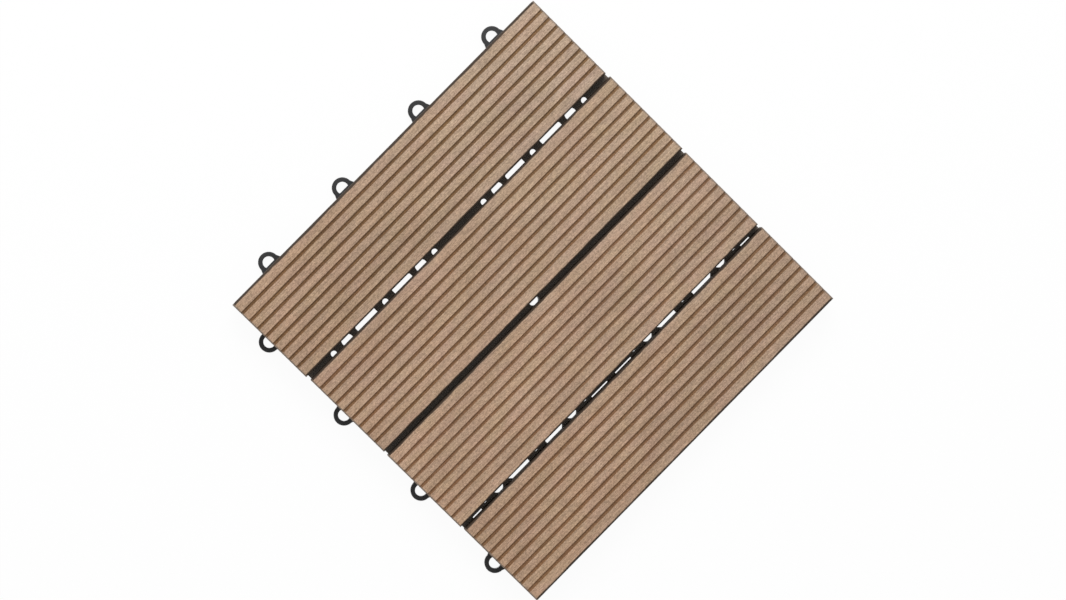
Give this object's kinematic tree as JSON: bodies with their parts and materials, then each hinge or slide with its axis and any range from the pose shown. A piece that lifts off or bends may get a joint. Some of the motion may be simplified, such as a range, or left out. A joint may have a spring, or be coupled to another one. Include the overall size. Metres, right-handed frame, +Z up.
{
  "type": "interlocking deck tile",
  "caption": "Square outdoor deck tile: grooved wood-composite slats on a black plastic grid with loops and pegs that clip to the next tile.",
  "frame": {"origin": "on the ground under the middle of the grid", "axes": "+Z up; the slats run along X; the grid's loops reach out on the -X and +Y sides and its pegs hang on the +X and -Y sides"},
  "size_m": [0.3099, 0.3098, 0.025],
  "materials": {
    "slat_composite": "brushed matt wood-plastic composite",
    "grid_plastic": "moulded polypropylene, fine satin texture",
    "screw_zinc": "bright zinc plating"
  },
  "bodies": {
    "root": {"base_grid": "grid_plastic", "deck_slat_1": "slat_composite", "deck_slat_2": "slat_composite", "deck_slat_3": "slat_composite", "deck_slat_4": "slat_composite", "deck_screws": "screw_zinc"}
  },
  "joints": []
}
